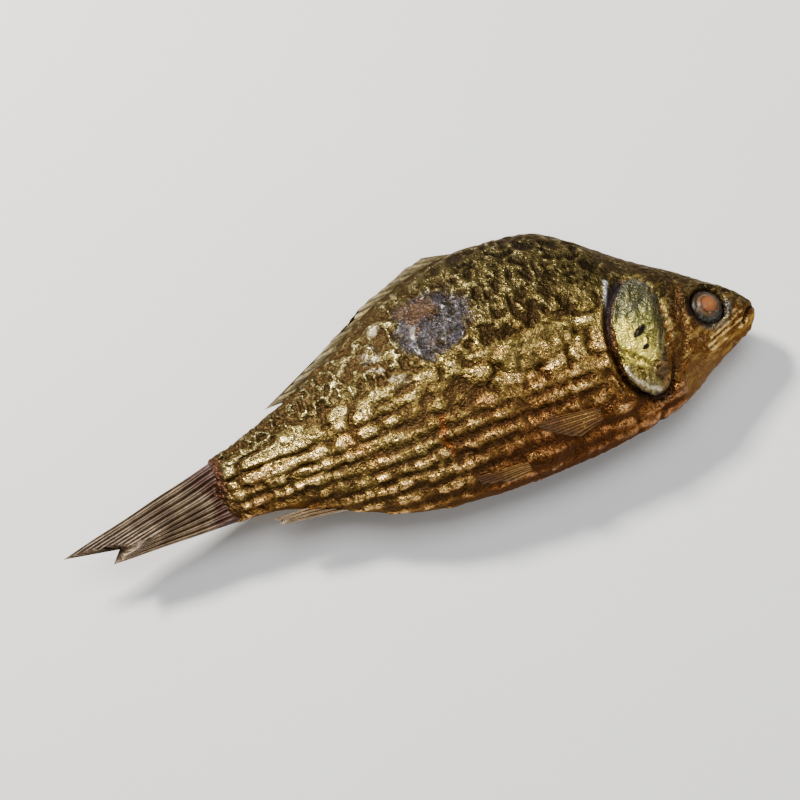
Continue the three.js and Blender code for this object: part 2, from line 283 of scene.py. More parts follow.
SCALE_LENGTH, ROW_HEIGHT = 3.35, 4.2
fullness = half / half.max()
walk = np.linalg.norm(np.diff(body[:, : AROUND // 2], axis=1), axis=-1)
walk = np.concatenate([np.zeros((STATIONS, 1)), np.cumsum(walk, axis=1)], axis=1)
at_axis = np.array([np.interp(0, y[i, : AROUND // 2], walk[i]) for i in range(STATIONS)])[:, None]
rows = (walk - at_axis) / (ROW_HEIGHT * (0.6 + 0.4 * fullness))
rows = np.concatenate([rows, rows[:, ::-1]], axis=1)
girth = walk[:, -1:]
height_share = np.concatenate([walk / girth, walk[:, ::-1] / girth], axis=1)
back_share = np.diff(-share[:, 0] * LENGTH, prepend=0) / -(SCALE_LENGTH * (0.75 + 0.25 * fullness[:, 0]))
scales = np.cumsum(back_share)[:, None] + np.where(right < 0, 40, 0)
scales = scales + 0.24 * rumple(body, 5, 1) + 0.12 * rumple(body, 2.2, 2)
rows = rows + 0.24 * rumple(body, 9, 3) + 0.16 * rumple(body, 3.2, 4)
print(f"{scales[-1, 60]:.0f} scales along the flank")
print(f"{rows.max():.0f} rows above the lateral line and {-rows.min():.0f} below")

# %% [markdown]
# ## Scales in relief
# Carp scales overlap like roof tiles laid from the head: each one is covered in front and lifts
# towards its free rear edge. For one row, the free edge is an arc, and the height is how far a
# point lies behind the scale's centre. The higher of the two nearest rows is the one on top. The
# sine of a large number serves as a lottery, which gives each scale a height of its own.


# %% Scales in relief
SCALE_HALF = 1.08  # half the height of a scale, in rows, so that neighbours overlap


def scale_relief(along, across):
    row = np.floor(across)
    best, pillow, number = (np.full(np.shape(along), start) for start in (-9.0, 0.0, 0.0))
    for this_row in (row, row + 1):
        aside = (across - this_row) / SCALE_HALF
        edge = np.sqrt(1 - aside**2)
        before_edge = (edge - along + 0.5 * (this_row % 2)) % 1
        raised = edge - before_edge
        name = np.sin((along - raised) * 12.9898 + this_row * 78.233) * 43758.5453
        lift = raised + step(0.8, 1.0, before_edge) * 0.9
        on_top = lift > best
        number = np.where(on_top, name % 1, number)
        pillow = np.where(on_top, 4 * before_edge * (1 - before_edge) * (1 - aside**2), pillow)
        best = np.maximum(best, lift)
    return best, pillow, number


tile, pillow, tile_luck = scale_relief(scales, rows)
ridge = 0.5 + 0.5 * np.cos(2 * np.pi * rows)
print(f"tiles run from {tile.min():.2f} at their fronts to {tile.max():.2f} at their free edges")

# %% [markdown]
# ## Where each kind of skin is
# A mask is a number from 0 to 1 at each point: where the scales are, the slit behind the gill
# cover, the eye socket, the bare patch and the pale flecks where scales came off, the patch that
# the smokehouse heat puffed up. Masks steer both the relief here and the colours later. Wear and
# damage are on the right flank only, which `seen` picks out.

# %% Where each kind of skin is
seen = right > 0
cover = gill_oval(x, y)
opening = gill_oval(x, y, back=2.2)
eye_gap = np.hypot(x - EYE[0], y - EYE[1])
nape = -33.5 - 0.1 * np.clip(y - 14, 0, 30) + 0.8 * rumple(body, 4, 5)
behind_head = step(0.0, -1.6, x - nape) * step(1.02, 1.1, opening)
behind_head = np.where(y < -13, step(1.04, 1.12, cover) * step(-23, -27, x), behind_head)
head = 1 - behind_head
rear_side = step(-26, -31, x + 0.2 * y)
slit = step(0.98, 1.02, cover) * step(1.05, 0.97, opening) * step(-27, -33, x) * step(-4, 2, y)
# groove: a recess under the lower edge of the gill cover, later painted nearly black as painted shade
groove = step(0.98, 1.02, cover) * step(1.16, 1.06, cover) * step(2, -4, y) * rear_side
pressed = along_line(x, y, [(-41, -15.2), (-68, -16.6)], 3.6)
pressed = step(0.15, 0.6, pressed + along_line(x, y, [(-60, -21), (-86, -22)], 1.8))
# a bright line at the top of the gill slit, on a small raised ridge: a painted highlight
glint = along_line(x, y, [(-35.4, 16.0), (-38.0, 9.4)], 0.34)
front_lip = np.exp(-(((cover - 1.05) / 0.08) ** 2)) * step(-28, -24, x + 0.25 * y) * step(-9, -3, y)
bare = np.where(seen, spot(x, y, (-80, 20.5), (9.5, 9.5), 0.5), 0)
bare = step(0.25, 0.6, bare + 0.25 * rumple(body, 3, 6))
puffed = np.where(seen, spot(x, y, (-58, 5.5), (10, 4.8), 0.1), 0)
puff_share = puffed + 0.16 * rumple(body, 4, 7)
puffed = step(0.25, 0.6, puff_share)
tail_edge = step(-LENGTH + 1.5, -LENGTH + 6, x + 1.6 * rumple(body, 2.4, 16))
scaled = behind_head * (1 - bare) * (1 - 0.35 * puffed) * tail_edge
# socket: the pit round the eye, later painted nearly black as painted shade
socket = step(5.1, 4.5, eye_gap)
# mouth: a groove along the lips, later painted nearly black as painted shade
mouth = along_line(x, y, [(1, 0.4), (-2.4, -1.0), (-4.6, -3.8)], 0.45)
crack = np.where(seen, along_line(x, y, [(-86, -3.5), (-87, -8), (-86.2, -12)], 0.8), 0)
flecks = np.where(seen, spot(x, y, (-95, 14), (2.6, 6), 0.4) + spot(x, y, (-93.6, 24), (1.6, 1.5)), 0)
flecks = 0.8 * flecks * step(0.1, 0.35, rumple(body * (1, 1.8, 1), 2.0, 8))
band = along_line(x, y, [(-18.8, 9), (-21.4, 2), (-21.6, -4), (-26.5, -10.5)], 1.6)
crescent = np.exp(-(((eye_gap - 5.6) / 0.8) ** 2)) * step(-11, -15, x) * step(9, 5, y)
throat = step(-7, -12, y) * step(-29, -22, x)
print(f"scales cover {scaled.mean():.0%} of the points and the bare patch {bare.mean():.1%}")

# %% [markdown]
# ## Relief of the scales
# Smoke dries a carp unevenly. Along the belly its scales keep their rows, on the flank they draw
# together into smooth lumps with narrow furrows between, and near the back the skin shrivels into
# a fine net. So `lump` is mixed from three patterns, each where it belongs, and the higher it is
# the brighter its colour is painted later, with painted light on the lumps and painted shade in
# the furrows. `crease` is a pattern of fold lines: it is highest where a soft random field
# crosses zero.


# %% Relief of the scales
def crease(size, seed, points=body):
    return 1 - 2.6 * np.abs(rumple(points, size, seed))


belly_part = step(0, -6, y) * step(-40, -50, x)
back_part = step(7, 14, y - 0.04 * (x + 60))
flank_part = (1 - belly_part) * (1 - back_part)
row_body, scale_body = step(0.05, 0.55, ridge), step(0.0, 0.3, pillow)
wrinkles = 0.45 * crease(3.4, 10) + 0.3 * crease(1.8, 11)
net = crease(2.3, 17) * 0.6 + 0.35 * crease(1.5, 18)
bulge = step(0.03, 0.4, np.abs(rumple(body * (0.72, 1.15, 1), 4.4, 23)))
row_lump = ridge**1.2 * (0.3 + 0.75 * tile_luck) * (0.5 + 0.5 * scale_body)
lump = belly_part * (row_lump + 0.3 * wrinkles)
lump += flank_part * (0.45 * row_body * (0.3 + 0.7 * tile_luck) + 0.75 * bulge - 0.2 + 0.2 * wrinkles)
lump += back_part * (net * 0.85 + 0.25 * scale_body * tile_luck)
lump = np.clip(lump, -0.2, 1.1)

relief = scaled * (1.15 * lump + 0.2 * (tile - 0.55) - 0.25) * (0.65 + 0.35 * step(26, 8, y))
relief += behind_head * 0.36 * rumple(body, 15, 9)
relief += puffed * (0.8 + 0.6 * crease(3.0, 12))
relief -= 0.9 * np.exp(-(((puff_share - 0.28) / 0.12) ** 2)) * scaled
relief -= bare * (0.4 - 0.34 * crease(3.2, 13))
relief *= (1 - 0.75 * pressed) * (1 - 0.6 * step(0.8, 1.0, np.abs(up)))
relief += 0.45 * flecks - 0.7 * crack
print(f"scales stand {relief.max():.2f} mm proud at most")

# %% [markdown]
# ## Relief of the head
# The bones of a carp's head show through its thin skin: the brow, the edge of the cheek, the jaws
# and the lips. Each is a ridge or a groove along a line of a few points, so `bones` gives its
# height, its points and its width. Then come the nostril, the ring and socket of the eye, and the
# gill opening. Two folds of skin on the flank cover the roots of the paired fins.

# %% Relief of the head
bones = {
    "brow": (0.5, [(-7.4, 6.6), (-10.5, 8.2), (-14.5, 8.4), (-18, 6.6)], 1.1),
    "cheek edge": (0.5, [(-17.6, 9.5), (-19.4, 3), (-19.6, -3), (-22.4, -9), (-26, -13.2)], 1.0),
    "cheek corner": (0.3, [(-20.4, 3.6), (-21.4, 0.4), (-23.4, -2)], 0.45),
    "groove of the jaw": (-0.35, [(-4.8, -5.4), (-11, -8.2), (-19, -12.2), (-25, -15.4)], 0.6),
    "edge of the jaw": (0.25, [(-7, -8.2), (-14, -11.4), (-22, -16), (-29, -18.4)], 0.7),
    "upper lip": (0.35, [(0.5, 1.8), (-2.2, 0.5), (-4.6, -2.2)], 0.7),
    "lower lip": (0.35, [(0, -1.2), (-2.2, -2.4), (-4.2, -5.0)], 0.7),
    "jaw plate": (0.25, [(-4.0, 1.4), (-6.4, -2.4), (-5.8, -4.6)], 0.6),
}
for rise, points, width in bones.values():
    relief += rise * along_line(x, y, points, width)
# raised streaks on the cheek; the finish paints a highlight along them
streaks = sum(
    along_line(x, y, [(-17.6 + 1.3 * k, -9.2 + 1.7 * k), (-5.4 + 0.4 * k, -4.6 + 1.7 * k)], 0.38)
    for k in range(4)
)
nostril = np.hypot(x + 6.4, y - 5.0)
relief += head * (0.1 * rumple(body, 6, 14) + 0.1 * crease(2.0, 15))
relief += 0.25 * streaks - 0.3 * band - 1.0 * mouth
relief += 0.2 * np.exp(-(((nostril - 1.3) / 0.4) ** 2)) - 0.8 * np.exp(-((nostril / 0.7) ** 2))
relief += 0.22 * np.exp(-(((eye_gap - 6.4) / 0.6) ** 2)) * step(4, 1, y)
relief += 0.35 * np.exp(-(((eye_gap - 5.5) / 0.5) ** 2)) - 2.6 * socket
relief -= 1.1 * slit + 0.9 * groove + 1.2 * step(1.0, 0.94, gill_oval(x, y, back=2.0))
relief += 0.5 * glint + 0.3 * front_lip
relief += 0.4 * np.exp(-(((opening - 1.13) / 0.05) ** 2)) * step(-28, -35, x) * step(-14, -8, y)
relief += 1.3 * spot(x, y, (-43.4, -15.2), (3.6, 2.8)) + 1.1 * spot(x, y, (-64, -20.6), (3.6, 2.4))
print("bones of the head:", ", ".join(bones))

# %% [markdown]
# ## Pushing the skin in and out
# A cross product of the two directions along the skin gives its normal. The relief moves each
# point along it, and fades out at the tip of the snout and at the end of the tail stem, where the
# rings close.

# %% Pushing the skin in and out
edge_fade = np.sqrt(np.clip(share * LENGTH / 3, 0, 1)) * np.clip((1 - share) * LENGTH / 2, 0, 1)

down = np.gradient(body, axis=0)
side = np.roll(body, -1, axis=1) - np.roll(body, 1, axis=1)
normal = np.cross(side, down)
normal /= np.linalg.norm(normal, axis=-1, keepdims=True)
normal *= np.sign((normal * (body - body.mean(axis=1, keepdims=True))).sum(-1, keepdims=True))
trunk = body + normal * (relief * edge_fade)[..., None]
print(f"relief runs from {relief.min():.2f} to {relief.max():.2f} mm")

# %% [markdown]
# ## Nodes as plain sums
# A finish is a network of nodes, and most of them do sums. `Wire` stands for one socket of that
# network: writing `1 - mask` or `a * b` adds the node that works it out, and `add` places any
# other kind of node. Colours are only ever mixed, by `between`, because a Math node would turn
# them grey.


# %% Nodes as plain sums
class Wire:
    """A socket of a node tree that sums can be written with."""

    def __init__(self, tree, socket=None):
        self.tree, self.socket = tree, socket

    def add(self, kind, settings=None, values=None, output=0):
        node = self.tree.nodes.new(kind)
        for name, setting in (settings or {}).items():
            if name == "stops":
                set_stops(node.color_ramp, setting)
            else:
                setattr(node, name, setting)
        for place, value in (values or {}).items():
            if isinstance(value, Wire):
                self.tree.links.new(value.socket, node.inputs[place])
            else:
                node.inputs[place].default_value = value
        return Wire(self.tree, node.outputs[output])

    def work(self, operation, first, second):
        kinds = [w.socket.type for w in (first, second) if isinstance(w, Wire)]
        kind = "ShaderNodeVectorMath" if "VECTOR" in kinds else "ShaderNodeMath"
        return self.add(kind, {"operation": operation}, {0: first, 1: second})

    def __add__(self, other):
        return self.work("ADD", self, other)

    def __sub__(self, other):
        return self.work("SUBTRACT", self, other)

    def __mul__(self, other):
        return self.work("MULTIPLY", self, other)

    def __radd__(self, other):
        return self.work("ADD", other, self)

    def __rsub__(self, other):
        return self.work("SUBTRACT", other, self)

    def __rmul__(self, other):
        return self.work("MULTIPLY", other, self)

    def math(self, operation, *others):
        return self.add("ShaderNodeMath", {"operation": operation}, dict(enumerate((self, *others))))

    def rise(self, start, end):
        settings = {"interpolation_type": "SMOOTHSTEP"}
        return self.add("ShaderNodeMapRange", settings, {0: self, 1: start, 2: end})

    def between(self, first, second):
        return self.add("ShaderNodeMix", {"data_type": "RGBA"}, {0: self, 6: first, 7: second}, 2)


def set_stops(ramp, stops):
    while len(ramp.elements) < len(stops):
        ramp.elements.new(1.0)
    for element, (place, colour) in zip(ramp.elements, stops):
        element.position, element.color = place, colour


def colour(red, green, blue):
    return (red, green, blue, 1.0)


# %% [markdown]
# ## What every finish shares
# `begin` opens a material and hands back its shader and a wire to draw with. `mark` reads what was
# stored in the mesh, and `grain` is Blender's noise at a size given in millimetres.


# %% What every finish shares
def begin(name, **settings):
    material = bpy.data.materials.new(name)
    material.use_nodes = True
    shader = material.node_tree.nodes["Principled BSDF"]
    for socket, value in settings.items():
        shader.inputs[socket.replace("_", " ")].default_value = value
    return material, shader, Wire(material.node_tree)


def finish_with(shader, wire, **links):
    for socket, value in links.items():
        wire.tree.links.new(value.socket, shader.inputs[socket.replace("_", " ")])


def mark(wire, name):
    return wire.add("ShaderNodeAttribute", {"attribute_name": name}, output="Fac")


def grain(wire, size, detail=3.0, stretch=(1, 1, 1), turn=0.0, rough=0.55):
    place = wire.add("ShaderNodeTexCoord", output="Object")
    if turn:
        settings = {"rotation_type": "Z_AXIS"}
        place = wire.add("ShaderNodeVectorRotate", settings, {"Vector": place, "Angle": -turn})
    place = place.work("MULTIPLY", place, stretch)
    values = {"Vector": place, "Scale": 1000 / size, "Detail": detail, "Roughness": rough}
    return wire.add("ShaderNodeTexNoise", {}, values)


def creased(noise):
    return 1 - (noise * 2 - 1).math("ABSOLUTE") * 2.4


def bumped(wire, height, depth_mm, below=None):
    values = {"Strength": 1.0, "Distance": depth_mm / 1000, "Height": height}
    if below is not None:
        values["Normal"] = below
    return wire.add("ShaderNodeBump", {}, values)


# %% [markdown]
# ## The pattern of scales, once more
# The mesh carries the shape of the scales, but not their sharp edges. So the finish works out the
# same arcs again, from the same two numbers at each point, and gives each scale a number of its
# own, `luck`, which lets neighbours differ.


# %% The pattern of scales, once more
def scale_pattern(wire):
    along, across = mark(wire, "scales"), mark(wire, "rows")
    row = across.math("FLOOR")
    found = []
    for number in (row, row + 1):
        aside = (across - number) * (1 / SCALE_HALF)
        edge = (1 - aside * aside).math("SQRT")
        odd = number.math("FLOORED_MODULO", 2.0) * 0.5
        before = (edge - along + odd).math("FRACT")
        found.append((edge - before, before, before * (1 - before) * (1 - aside * aside) * 4))
    (first, first_before, first_pillow), (second, second_before, second_pillow) = found
    first_wins = first.math("GREATER_THAN", second)
    height = first.math("MAXIMUM", second)
    before = first_before * first_wins + second_before * (1 - first_wins)
    pillow = first_pillow * first_wins + second_pillow * (1 - first_wins)
    name = wire.add("ShaderNodeCombineXYZ", {}, {0: along - height, 1: row - first_wins})
    half_steps = {0: name + (0.25, 0.5, 0), 1: (0.5, 1, 1)}
    name = wire.add("ShaderNodeVectorMath", {"operation": "SNAP"}, half_steps)
    luck = wire.add("ShaderNodeTexWhiteNoise", {}, {"Vector": name})
    return height, before, pillow, luck


# %% [markdown]
# ## Old gold
# Under the brown of the smoke a carp's flank still shines, because its scales carry a layer like a
# mirror. The colours are therefore dark ones on a partly metallic skin, and the light does much of
# the rest. Each runs from the belly, at 0, to the back, at 1: `valley` between the lumps, partly
# the smoke's own dark and partly painted shade, `crest` on them, partly painted light, and the
# brightest tone, a painted highlight, on their highest points. Towards the tail the gold reaches
# further down.


# %% Old gold
def by_height(wire, level, stops):
    return wire.add("ShaderNodeValToRGB", {"stops": stops}, {0: level})


def old_gold(wire, level, aft, peak, glint_mask):
    valley = by_height(wire, level, [
        (0.0, colour(0.064, 0.020, 0.005)),
        (0.3, colour(0.060, 0.023, 0.006)),
        (0.5, colour(0.030, 0.016, 0.004)),
        (0.9, colour(0.012, 0.009, 0.004)),
    ])
    crest = by_height(wire, level, [
        (0.0, colour(0.085, 0.026, 0.005)),
        (0.16, colour(0.15, 0.052, 0.010)),
        (0.32, colour(0.27, 0.15, 0.036)),
        (0.5, colour(0.25, 0.17, 0.04)),
        (0.68, colour(0.12, 0.09, 0.028)),
        (1.0, colour(0.04, 0.032, 0.014)),
    ])
    # the brightest tone, laid on the highest points of the lumps: a painted highlight
    painted_glint = by_height(wire, level, [
        (0.1, colour(0.44, 0.19, 0.055)),
        (0.3, colour(0.85, 0.52, 0.17)),
        (0.6, colour(0.76, 0.58, 0.20)),
        (0.95, colour(0.30, 0.25, 0.12)),
    ])
    valley = (aft * 0.6).between(valley, colour(0.080, 0.043, 0.013))
    # valley to crest follows relief height: partly the smoke's own darker hollows, partly painted shade
    # between the lumps and painted light on them
    gold = peak.rise(0.16, 0.7).between(valley, crest)
    return glint_mask.rise(0.62, 1.08).between(gold, painted_glint), valley


# %% [markdown]
# ## The skin of the head
# The head has no scales. Its skin is thin and brown, darker towards the crown, with fine streaks
# that shine along the cheek, raised gold lines under the eye with a painted highlight on them and
# small painted glints all over. Round the eye it has a dark crescent behind, a dull grey ring in
# front and below, and a brown band along the edge of the cheek.


# %% The skin of the head
def skin_of_head(wire, high_up, fine, tiny):
    skin_tone = by_height(wire, high_up + (fine - 0.5) * 0.25, [
        (0.15, colour(0.12, 0.044, 0.008)),
        (0.45, colour(0.11, 0.045, 0.010)),
        (0.62, colour(0.045, 0.028, 0.009)),
        (0.85, colour(0.018, 0.015, 0.007)),
    ])
    streak = grain(wire, 1.8, 3.0, (0.22, 1.0, 0.6), 0.4)
    shiny = streak.rise(0.50, 0.64) * high_up.rise(0.85, 0.5)
    skin_tone = (shiny * 0.6).between(skin_tone, colour(0.46, 0.27, 0.06))
    lip = mark(wire, "front_lip") * streak.rise(0.42, 0.56)
    skin_tone = (lip * 0.7).between(skin_tone, colour(0.34, 0.26, 0.08))
    # gold along the raised streaks, brightened as a painted highlight
    lines = mark(wire, "streaks").rise(0.3, 0.9) * fine.rise(0.4, 0.6)
    skin_tone = lines.between(skin_tone, colour(0.90, 0.56, 0.18))
    # small random bright points on the head: painted glints
    painted_glints = (tiny * 0.6 + fine * 0.4).rise(0.54, 0.64) * 0.5
    skin_tone = painted_glints.between(skin_tone, colour(0.42, 0.33, 0.14))
    return (mark(wire, "throat") * 0.7).between(skin_tone, colour(0.14, 0.058, 0.010))


def round_the_eye(wire, base, fine):
    base = (mark(wire, "band") * 0.85).between(base, colour(0.050, 0.020, 0.006))
    ring = fine.rise(0.42, 0.6).between(colour(0.030, 0.028, 0.020), colour(0.11, 0.115, 0.10))
    base = (mark(wire, "eye_ring") * 0.7).between(base, ring)
    return (mark(wire, "crescent") * 0.9).between(base, colour(0.018, 0.011, 0.007))


# %% [markdown]
# ## Wear and openings
# Where scales came off, the skin is bruised violet and brown, with painted light on its folds and
# small painted glints, and beside it pale flecks are left. A crack shows red-brown flesh, and the
# skin ends in a dark rim at the root of the tail. The slit behind the gill cover is dusky. The
# mouth, the eye sockets and the groove under the gill cover are painted nearly black, as painted
# shade in these hollows, and one bright line at the top of the slit is a painted highlight.


# %% Wear and openings
def worn(wire, base, blotch, fine, folds):
    # violet bruise colour, lighter on the folds as painted light, with pale grey points as painted glints
    bruise_and_glints = folds.rise(0.3, 0.95).between(colour(0.006, 0.005, 0.006), colour(0.034, 0.031, 0.042))
    bruise_and_glints = (fine.rise(0.58, 0.72) * 0.6).between(bruise_and_glints, colour(0.20, 0.20, 0.24))
    bruise_and_glints = (blotch.rise(0.52, 0.6) * 0.6).between(bruise_and_glints, colour(0.075, 0.032, 0.010))
    base = (mark(wire, "bare") * 0.9).between(base, bruise_and_glints)
    base = mark(wire, "tail_end").between(base, colour(0.055, 0.022, 0.011))
    base = mark(wire, "flecks").between(base, colour(0.62, 0.52, 0.34))
    return mark(wire, "crack").between(base, colour(0.16, 0.045, 0.008))


def with_openings(wire, base, high_up):
    gill = high_up.rise(0.4, 0.75).between(colour(0.05, 0.022, 0.012), colour(0.11, 0.085, 0.105))
    base = mark(wire, "slit").between(base, gill)
    # groove, mouth and socket are painted shade in hollows, nearly black; glint is a painted highlight
    tones = {
        "groove": colour(0.025, 0.011, 0.005),
        "glint": colour(0.72, 0.72, 0.72),
        "mouth": colour(0.020, 0.010, 0.005),
        "socket": colour(0.016, 0.010, 0.006),
    }
    for name, tone in tones.items():
        base = mark(wire, name).between(base, tone)
    return base


# %% [markdown]
# ## The smoked skin
# All of it comes together here. `peak` and the glint mask start from the height of the relief, so
# that the gold and a painted highlight sit on the raised scales, and a little noise breaks it up.
# High points are smoother and have a thin film of fat, which is the coat. The low spot just behind
# each covering scale edge is dull and painted darker, as painted shade.


# %% The smoked skin
def smoked_skin():
    warm_shine = colour(0.62, 0.50, 0.34)
    settings = {"Coat_Roughness": 0.12, "Coat_IOR": 1.45, "Specular_Tint": warm_shine}
    material, shader, wire = begin("smoked_skin", **settings)
    height, before, pillow, luck = scale_pattern(wire)
    scaled, high_up, lump = mark(wire, "scaled"), mark(wire, "height_share"), mark(wire, "lump")
    bare, head, aft = mark(wire, "bare"), mark(wire, "head"), mark(wire, "aft")
    blotch, fine, tiny = grain(wire, 13), grain(wire, 2.6), grain(wire, 0.8)
    folds, small_folds = creased(grain(wire, 3.4, 2.0)), creased(grain(wire, 1.3, 2.0))

    level = high_up + (blotch - 0.5) * 0.25 + (fine - 0.5) * 0.08 + aft * high_up.rise(0.5, 0.2) * 0.2
    peak = lump + (luck - 0.5) * 0.2 + (fine - 0.5) * 0.55 + (small_folds - 0.3) * 0.25
    # where the painted highlights go: raised scales, broken up by noise
    glint_mask = lump * 0.85 + (fine - 0.5) * 1.1 + (small_folds - 0.3) * 0.3 + (tiny - 0.5) * 0.4
    glint_mask = glint_mask + aft * 0.12 - high_up.rise(0.3, 0.5) * 0.06
    base, valley = old_gold(wire, level, aft, peak, glint_mask)

    russet = grain(wire, 9, 2.0).rise(0.52, 0.66) * high_up.rise(0.62, 0.4) * (1 - head) * 0.4
    # the russet patches are the skin's own red-brown; their lightening on raised points is painted light
    copper = peak.rise(0.2, 0.9).between(colour(0.05, 0.014, 0.004), colour(0.46, 0.17, 0.05))
    base = russet.between(base, copper)
    # the low spot behind each covering scale edge is painted toward the valley tone: painted shade
    shaded_hollow = before.rise(0.75, 0.97) * scaled
    base = (shaded_hollow * 0.6).between(base, valley)
    puffed_skin = folds.rise(0.2, 0.8).between(valley, colour(0.40, 0.29, 0.08))
    base = (mark(wire, "puffed") * 0.3).between(base, puffed_skin)

    base = head.between(base, skin_of_head(wire, high_up, fine, tiny))
    base = round_the_eye(wire, base, fine)
    base = worn(wire, base, blotch, fine, folds)
    base = with_openings(wire, base, high_up)

    dull = (1 - bare * 0.35) * (1 - mark(wire, "slit") * 0.6) * (1 - mark(wire, "throat") * 0.3)
    rough = 0.44 - peak.rise(0.2, 0.9) * 0.22 + (fine - 0.5) * 0.25 + shaded_hollow * 0.15
    crumple = small_folds * 0.25 + fine * 0.35 + tiny * 0.15 + folds * 0.3
    normal = bumped(wire, height * scaled + pillow * scaled * 0.4, 0.25)
    normal = bumped(wire, crumple, 0.7, normal)
    finish_with(shader, wire, Base_Color=base, Metallic=(0.75 + peak * 0.15) * dull)
    finish_with(shader, wire, Roughness=rough, Normal=normal)
    finish_with(shader, wire, Coat_Weight=peak.rise(0.5, 1.1) * 0.35 + bare * 0.15)
    return material


marks = {"scales": scales, "rows": rows, "scaled": scaled, "height_share": height_share, "bare": bare}
marks |= {"slit": slit, "puffed": puffed, "head": head, "flecks": np.clip(flecks, 0, 1), "crack": crack}
marks |= {"streaks": streaks, "front_lip": front_lip, "aft": step(-62, -105, x), "tail_end": 1 - tail_edge}
marks |= {"lump": np.clip(lump, 0, 1) * scaled + (1 - scaled) * 0.35}
marks |= {"mouth": mouth, "socket": socket, "groove": groove, "glint": glint, "band": band}
marks |= {"crescent": crescent, "throat": throat, "eye_ring": step(7.2, 5.6, eye_gap) * step(5, 1, y)}
trunk_piece = skin("carp_body", trunk, marks)
settle(trunk_piece, "body", smoked_skin())

# %% [markdown]
# ## Gill covers
# The gill cover is a thin plate of bone under gilded skin. Its front edge runs in under the cheek
# and its rear edge stands free over the gills. It is made as rings: out over its face, round the
# rim and back along its underside. A seam and a raised lower edge with a painted highlight cross
# it. A painted highlight makes it brightest below its middle, and it is dark at the top and rusty
# in the lower front corner.


# %% Gill covers
def gill_cover_rings(side_sign):
    turns = 2 * np.pi * np.arange(160) / 160
    face = np.concatenate([np.linspace(0.02, 0.9, 44), np.linspace(0.915, 1.0, 8)])
    radius = np.concatenate([face, face[::-1][1:]])[:, None]
    under = np.concatenate([np.zeros(len(face)), np.ones(len(face) - 1)])[:, None]
    ragged = 1 + 0.012 * np.sin(7 * turns) + 0.01 * np.sin(13 * turns + 1)
    reach = radius * ragged * outline(np.arctan2(np.sin(turns), np.cos(turns)))
    across, along = reach * COVER_HALF[0] * np.cos(turns), reach * COVER_HALF[1] * np.sin(turns)
    px = COVER_CENTRE[0] + across * np.cos(LEAN) - along * np.sin(LEAN)
    py = COVER_CENTRE[1] + along * np.cos(LEAN) + across * np.sin(LEAN)
    place = np.stack([px, py, 0 * px], -1)
    rim = np.clip((radius - 0.9) / 0.1, 0, 1)
    top = 0.45 + 0.6 * (1 - radius**2) - 0.45 * (1 - np.sqrt(1 - rim**2))
    seam = [(-39.4, -2.0), (-35, -5.8), (-31.9, -8.4), (-28.8, -11.8)]
    edge = [(-39.6, -6.2), (-37.6, -10.4), (-34.6, -13.0), (-32.2, -14.0)]
    top = top - 0.3 * along_line(px, py, seam, 0.45)
    top = top + 0.25 * along_line(px, py, [(p - 0.4, q - 1.1) for p, q in seam], 0.6)
    top = top + 0.25 * along_line(px, py, edge, 0.6)
    top = top + 0.3 * rumple(place, 4.5, 20) + 0.3 * rumple(place, 1.9, 21)
    top = top + 0.12 * crease(1.3, 24, place)
    spread = np.arctan2(py - 11, px + 24.5)
    top = top + 0.07 * np.sin(spread * 30 + rumple(place, 3, 22)) * step(3, 9, np.hypot(px + 24.5, py - 11))
    bottom = top - 0.9 * (1 - rim**2)
    lift = np.where(under > 0, bottom, top) - 1.3 * step(0.55, 1.0, across / COVER_HALF[0])
    rings = np.stack([px, py, side_sign * (flank(px, py) + lift)], -1)
    plate_marks = {
        "seam": along_line(px, py, seam, 0.55),
        # the raised lower edge of the plate, later given a pale painted highlight
        "pale_rim": along_line(px, py, edge, 0.5),
        "rim": radius * np.ones_like(px),
        "spots": spot(px, py, (-32.8, 0.3), (2.4, 0.95), 0.55)
        + spot(px, py, (-32.6, -3.8), (1.1, 0.65), 0.3),
        "high_up": step(-15, 15, py),
        "front": across / COVER_HALF[0] + 0.35 * step(-4, -12, py),
        # where a painted highlight lies on the plate, below its middle
        "bright": 1.15 * spot(px, py, (-35.4, -1.5), (3.6, 7.0), 0.15)
        + 0.9 * spot(px, py, (-32.0, -6.2), (3.2, 2.2)),
        "ruddy": step(-33.5, -29.5, px) * step(-5.5, -9.5, py),
    }
    return rings, plate_marks


